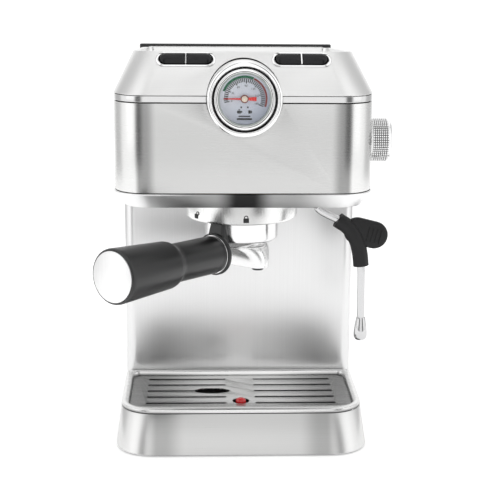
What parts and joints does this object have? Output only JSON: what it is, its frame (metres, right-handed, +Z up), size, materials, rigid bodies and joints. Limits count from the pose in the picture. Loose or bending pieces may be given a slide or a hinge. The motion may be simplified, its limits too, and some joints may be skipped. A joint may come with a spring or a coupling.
{
  "type": "espresso machine",
  "caption": "Counter-top pump espresso machine with a steel head, round gauge, push buttons, lever-handled filter holder, steam wand, side knob, slotted drip tray and rear water tank.",
  "frame": {"origin": "on the counter (z = 0), at the middle of the machine's overall width and depth, which is within 2.5 mm of the casing's mid-plane", "axes": "+X to the machine's right as its user sees it, +Y to its back, +Z up"},
  "size_m": [0.2304, 0.3454, 0.3202],
  "materials": {
    "steel_brushed": "brushed stainless steel",
    "steel_polished": "polished stainless steel",
    "chrome": "bright chrome",
    "satin_alloy": "satin cast alloy",
    "black_plastic": "satin black moulding",
    "rubber": "matt black rubber",
    "smoked_clear": "smoked clear moulding",
    "clear": "clear",
    "dial_print": "printed pale grey",
    "red_plastic": "red",
    "brass": "machined brass",
    "board": "circuit board",
    "hose": "translucent silicone"
  },
  "bodies": {
    "machine": {"back_panel": "black_plastic", "base_deck": "black_plastic", "base_pan": "black_plastic", "base_skirt": "steel_brushed", "button_bezel_left": "chrome", "button_bezel_right": "chrome", "column_panel": "steel_brushed", "control_board": "board", "cord_gland": "black_plastic", "cup_warming_plate": "steel_brushed", "foot_back_left": "rubber", "foot_back_right": "rubber", "foot_front_left": "rubber", "foot_front_right": "rubber", "gauge_bezel": "chrome", "gauge_dial": "dial_print", "gauge_glass": "clear", "gauge_housing": "chrome", "group_body": "brass", "group_collar": "satin_alloy", "group_gasket": "rubber", "head_band": "steel_polished", "head_shell": "steel_brushed", "head_underside": "steel_polished", "pressure_hose": "hose", "pump": "black_plastic", "shower_screen": "steel_polished", "shower_screw": "steel_polished", "steam_valve": "brass", "supply_hose": "hose", "switch_board": "board", "thermoblock": "satin_alloy", "top_cover": "steel_brushed", "valve_seat": "rubber"},
    "filter_holder": {"portafilter_body": "steel_polished", "filter_basket": "steel_polished", "double_spout": "chrome", "handle_neck": "black_plastic", "handle_ferrule": "black_plastic", "handle_grip": "black_plastic", "handle_end_cap": "satin_alloy"},
    "steam_wand": {"wand_pivot": "chrome", "wand_tube": "chrome", "wand_grip": "rubber", "wand_nozzle": "chrome"},
    "steam_valve_knob": {"steam_knob": "satin_alloy", "valve_stem": "brass"},
    "key_left_a": {"button_left_a": "black_plastic"},
    "key_left_b": {"button_left_b": "black_plastic"},
    "key_right_a": {"button_right_a": "black_plastic"},
    "key_right_b": {"button_right_b": "black_plastic"},
    "needle": {"gauge_needle": "red_plastic"},
    "tank": {"water_tank": "smoked_clear", "tank_valve": "black_plastic"},
    "lid": {"tank_lid": "black_plastic", "tank_lid_insert": "steel_brushed"},
    "tray": {"drip_tray": "black_plastic"},
    "tray_cover": {"drip_grate": "steel_brushed"},
    "full_float": {"tray_float": "red_plastic"}
  },
  "joints": [
    {"name": "filter_holder_turn", "type": "hinge", "parent": "machine", "child": "filter_holder", "pos_m": [0, -0.044, 0.19], "axis": [0, 0, 1], "range_deg": [-14, 40]},
    {"name": "steam_wand_swivel", "type": "hinge", "parent": "machine", "child": "steam_wand", "pos_m": [0.0585, -0.068, 0.2], "axis": [0, 0, 1], "range_deg": [-60, 40]},
    {"name": "steam_knob_turn", "type": "hinge", "parent": "machine", "child": "steam_valve_knob", "pos_m": [0.1003, -0.06, 0.25], "axis": [1, 0, 0], "range_deg": [0, 270]},
    {"name": "button_left_a_press", "type": "slide", "parent": "machine", "child": "key_left_a", "axis": [0, 0.6903, -0.7236], "range_m": [0, 0.0012], "stiffness_N_per_m": 600},
    {"name": "button_left_b_press", "type": "slide", "parent": "machine", "child": "key_left_b", "axis": [0, 0.6903, -0.7236], "range_m": [0, 0.0012], "stiffness_N_per_m": 600},
    {"name": "button_right_a_press", "type": "slide", "parent": "machine", "child": "key_right_a", "axis": [0, 0.6903, -0.7236], "range_m": [0, 0.0012], "stiffness_N_per_m": 600},
    {"name": "button_right_b_press", "type": "slide", "parent": "machine", "child": "key_right_b", "axis": [0, 0.6903, -0.7236], "range_m": [0, 0.0012], "stiffness_N_per_m": 600},
    {"name": "gauge_needle_turn", "type": "hinge", "parent": "machine", "child": "needle", "pos_m": [0, -0.1047, 0.2868], "axis": [0, 1, 0], "range_deg": [0, 200]},
    {"name": "tank_lift", "type": "slide", "parent": "machine", "child": "tank", "axis": [0, 0, 1], "range_m": [0, 0.29]},
    {"name": "tank_lid_open", "type": "hinge", "parent": "tank", "child": "lid", "pos_m": [0, 0.17, 0.3015], "axis": [-1, 0, 0], "range_deg": [0, 75]},
    {"name": "tray_lift", "type": "slide", "parent": "machine", "child": "tray", "axis": [0, 0, 1], "range_m": [0, 0.028]},
    {"name": "tray_cover_lift", "type": "slide", "parent": "tray", "child": "tray_cover", "axis": [0, 0, 1], "range_m": [0, 0.02]},
    {"name": "float_rise", "type": "slide", "parent": "tray", "child": "full_float", "axis": [0, 0, 1], "range_m": [0, 0.005]}
  ]
}
